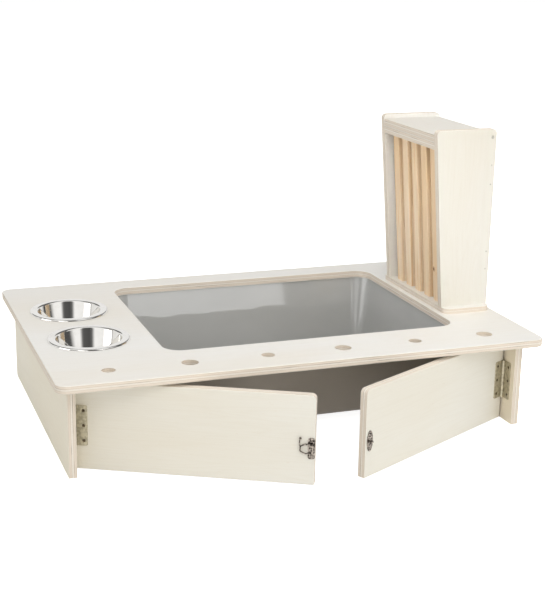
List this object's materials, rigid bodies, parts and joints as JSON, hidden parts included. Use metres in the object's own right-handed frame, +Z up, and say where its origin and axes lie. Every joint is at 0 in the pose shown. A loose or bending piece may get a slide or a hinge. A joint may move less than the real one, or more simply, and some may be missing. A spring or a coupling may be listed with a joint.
{
  "type": "small-animal feeding and digging table",
  "caption": "Low plywood table with a sunken grey digging tub, lift-out steel bowls, twig holes, a slatted hay rack with a lid, and latched front doors.",
  "frame": {"origin": "on the floor, midway along the table's length and midway in depth between the ajar doors' foremost point and the plate's back edge", "axes": "+X along the table towards the hay rack, +Y from the doors to the back, +Z up"},
  "size_m": [0.748, 0.6006, 0.4457],
  "materials": {
    "birch_plywood": "sanded, clear matt coat",
    "pine": "planed, bare",
    "grey_plastic": "moulded, satin gloss",
    "steel_bowl": "polished stainless steel",
    "nickel_hinge": "dull nickel plate",
    "zinc_fastener": "zinc plate",
    "aged_latch": "aged dark pewter tone"
  },
  "bodies": {
    "table": {"top_plate": "birch_plywood", "left_side_panel": "birch_plywood", "right_side_panel": "birch_plywood", "back_panel": "birch_plywood", "left_front_batten": "pine", "left_middle_batten": "pine", "left_rear_batten": "pine", "right_top_batten": "pine", "left_corner_batten": "pine", "right_corner_batten": "pine", "batten_screws": "zinc_fastener", "left_tub_runner": "pine", "right_tub_runner": "pine", "runner_screws": "zinc_fastener", "rack_base_board": "birch_plywood", "rack_front_side": "birch_plywood", "rack_rear_side": "birch_plywood", "rack_back_panel": "birch_plywood", "rack_top_rail": "birch_plywood", "rack_slat_1": "pine", "rack_slat_2": "pine", "rack_slat_3": "pine", "rack_slat_4": "pine", "rack_slat_5": "pine", "rack_back_nails": "zinc_fastener", "rack_side_screws": "zinc_fastener", "rack_mount_screws": "zinc_fastener", "left_hinge_frame_leaf": "nickel_hinge", "left_hinge_pin": "nickel_hinge", "left_hinge_frame_screws": "nickel_hinge", "right_hinge_frame_leaf": "nickel_hinge", "right_hinge_pin": "nickel_hinge", "right_hinge_frame_screws": "nickel_hinge"},
    "left_door": {"left_door": "birch_plywood", "left_hinge_door_leaf": "nickel_hinge", "left_hinge_door_screws": "nickel_hinge", "latch_plate": "aged_latch", "latch_screws": "aged_latch"},
    "latch_loop": {"latch_loop": "aged_latch"},
    "right_door": {"right_door": "birch_plywood", "right_hinge_door_leaf": "nickel_hinge", "right_hinge_door_screws": "nickel_hinge", "catch_plate": "aged_latch", "catch_screws": "aged_latch"},
    "rack_lid": {"rack_lid": "birch_plywood", "lid_pivot_screws": "zinc_fastener"},
    "digging_tub": {"digging_tub": "grey_plastic"},
    "front_bowl": {"front_bowl": "steel_bowl"},
    "rear_bowl": {"rear_bowl": "steel_bowl"}
  },
  "joints": [
    {"name": "left_door_hinge", "type": "hinge", "parent": "table", "child": "left_door", "pos_m": [-0.33895, -0.14274, 0.067], "axis": [0, 0, -1], "range_deg": [-27.5, 62.5]},
    {"name": "right_door_hinge", "type": "hinge", "parent": "table", "child": "right_door", "pos_m": [0.34245, -0.14274, 0.067], "axis": [0, 0, 1], "range_deg": [-27.5, 62.5]},
    {"name": "latch_swing", "type": "hinge", "parent": "left_door", "child": "latch_loop", "pos_m": [-0.04081, -0.29811, 0.0555], "axis": [0, 0, 1], "range_deg": [0, 180]},
    {"name": "rack_lid_hinge", "type": "hinge", "parent": "table", "child": "rack_lid", "pos_m": [0.359, 0.07081, 0.4327], "axis": [0, 1, 0], "range_deg": [0, 204]},
    {"name": "tub_slide", "type": "slide", "parent": "table", "child": "digging_tub", "axis": [0, -1, 0], "range_m": [0, 0.05]},
    {"name": "front_bowl_lift", "type": "slide", "parent": "table", "child": "front_bowl", "axis": [0, 0, 1], "range_m": [0, 0.06]},
    {"name": "rear_bowl_lift", "type": "slide", "parent": "table", "child": "rear_bowl", "axis": [0, 0, 1], "range_m": [0, 0.06]}
  ]
}
